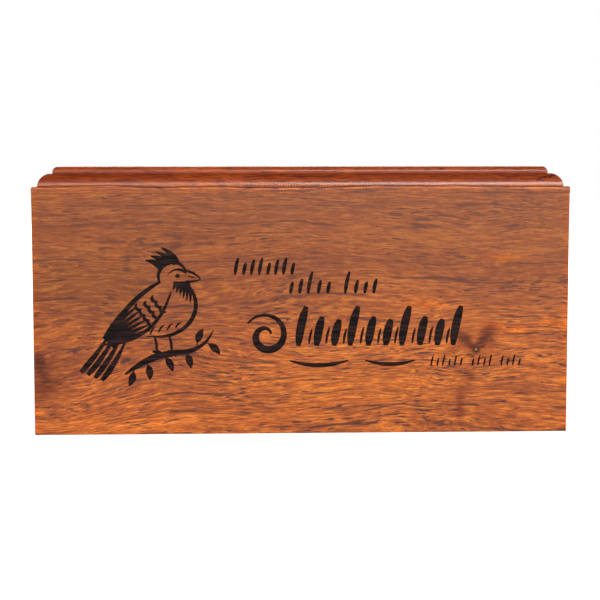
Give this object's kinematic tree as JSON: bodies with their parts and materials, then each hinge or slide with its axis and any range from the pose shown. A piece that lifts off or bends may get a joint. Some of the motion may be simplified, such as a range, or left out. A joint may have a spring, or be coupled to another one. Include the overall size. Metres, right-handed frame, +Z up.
{
  "type": "cremation urn box",
  "caption": "Hollow box urn of solid wood boards with a stepped quarter-round top, an engraved front and a screwed base panel.",
  "frame": {"origin": "middle of the underside, at the height of the shelf it stands on", "axes": "+X along the box to the right as seen from the front, +Y from the front to the back, +Z up"},
  "size_m": [0.254, 0.178, 0.127],
  "materials": {
    "front_wood": "satin lacquer over red-brown rosewood, with a burnt engraving",
    "wall_wood": "satin lacquer over red-brown rosewood",
    "top_wood": "gloss lacquer over darker red-brown rosewood",
    "base_wood": "plain thin lacquer, sanded flat",
    "screw_brass": "brushed brass, slightly dull"
  },
  "bodies": {
    "root": {"front_board": "front_wood", "back_board": "wall_wood", "left_board": "wall_wood", "right_board": "wall_wood", "top_board": "top_wood", "base_panel": "base_wood", "front_left_screw": "screw_brass", "front_right_screw": "screw_brass", "back_left_screw": "screw_brass", "back_right_screw": "screw_brass"}
  },
  "joints": []
}
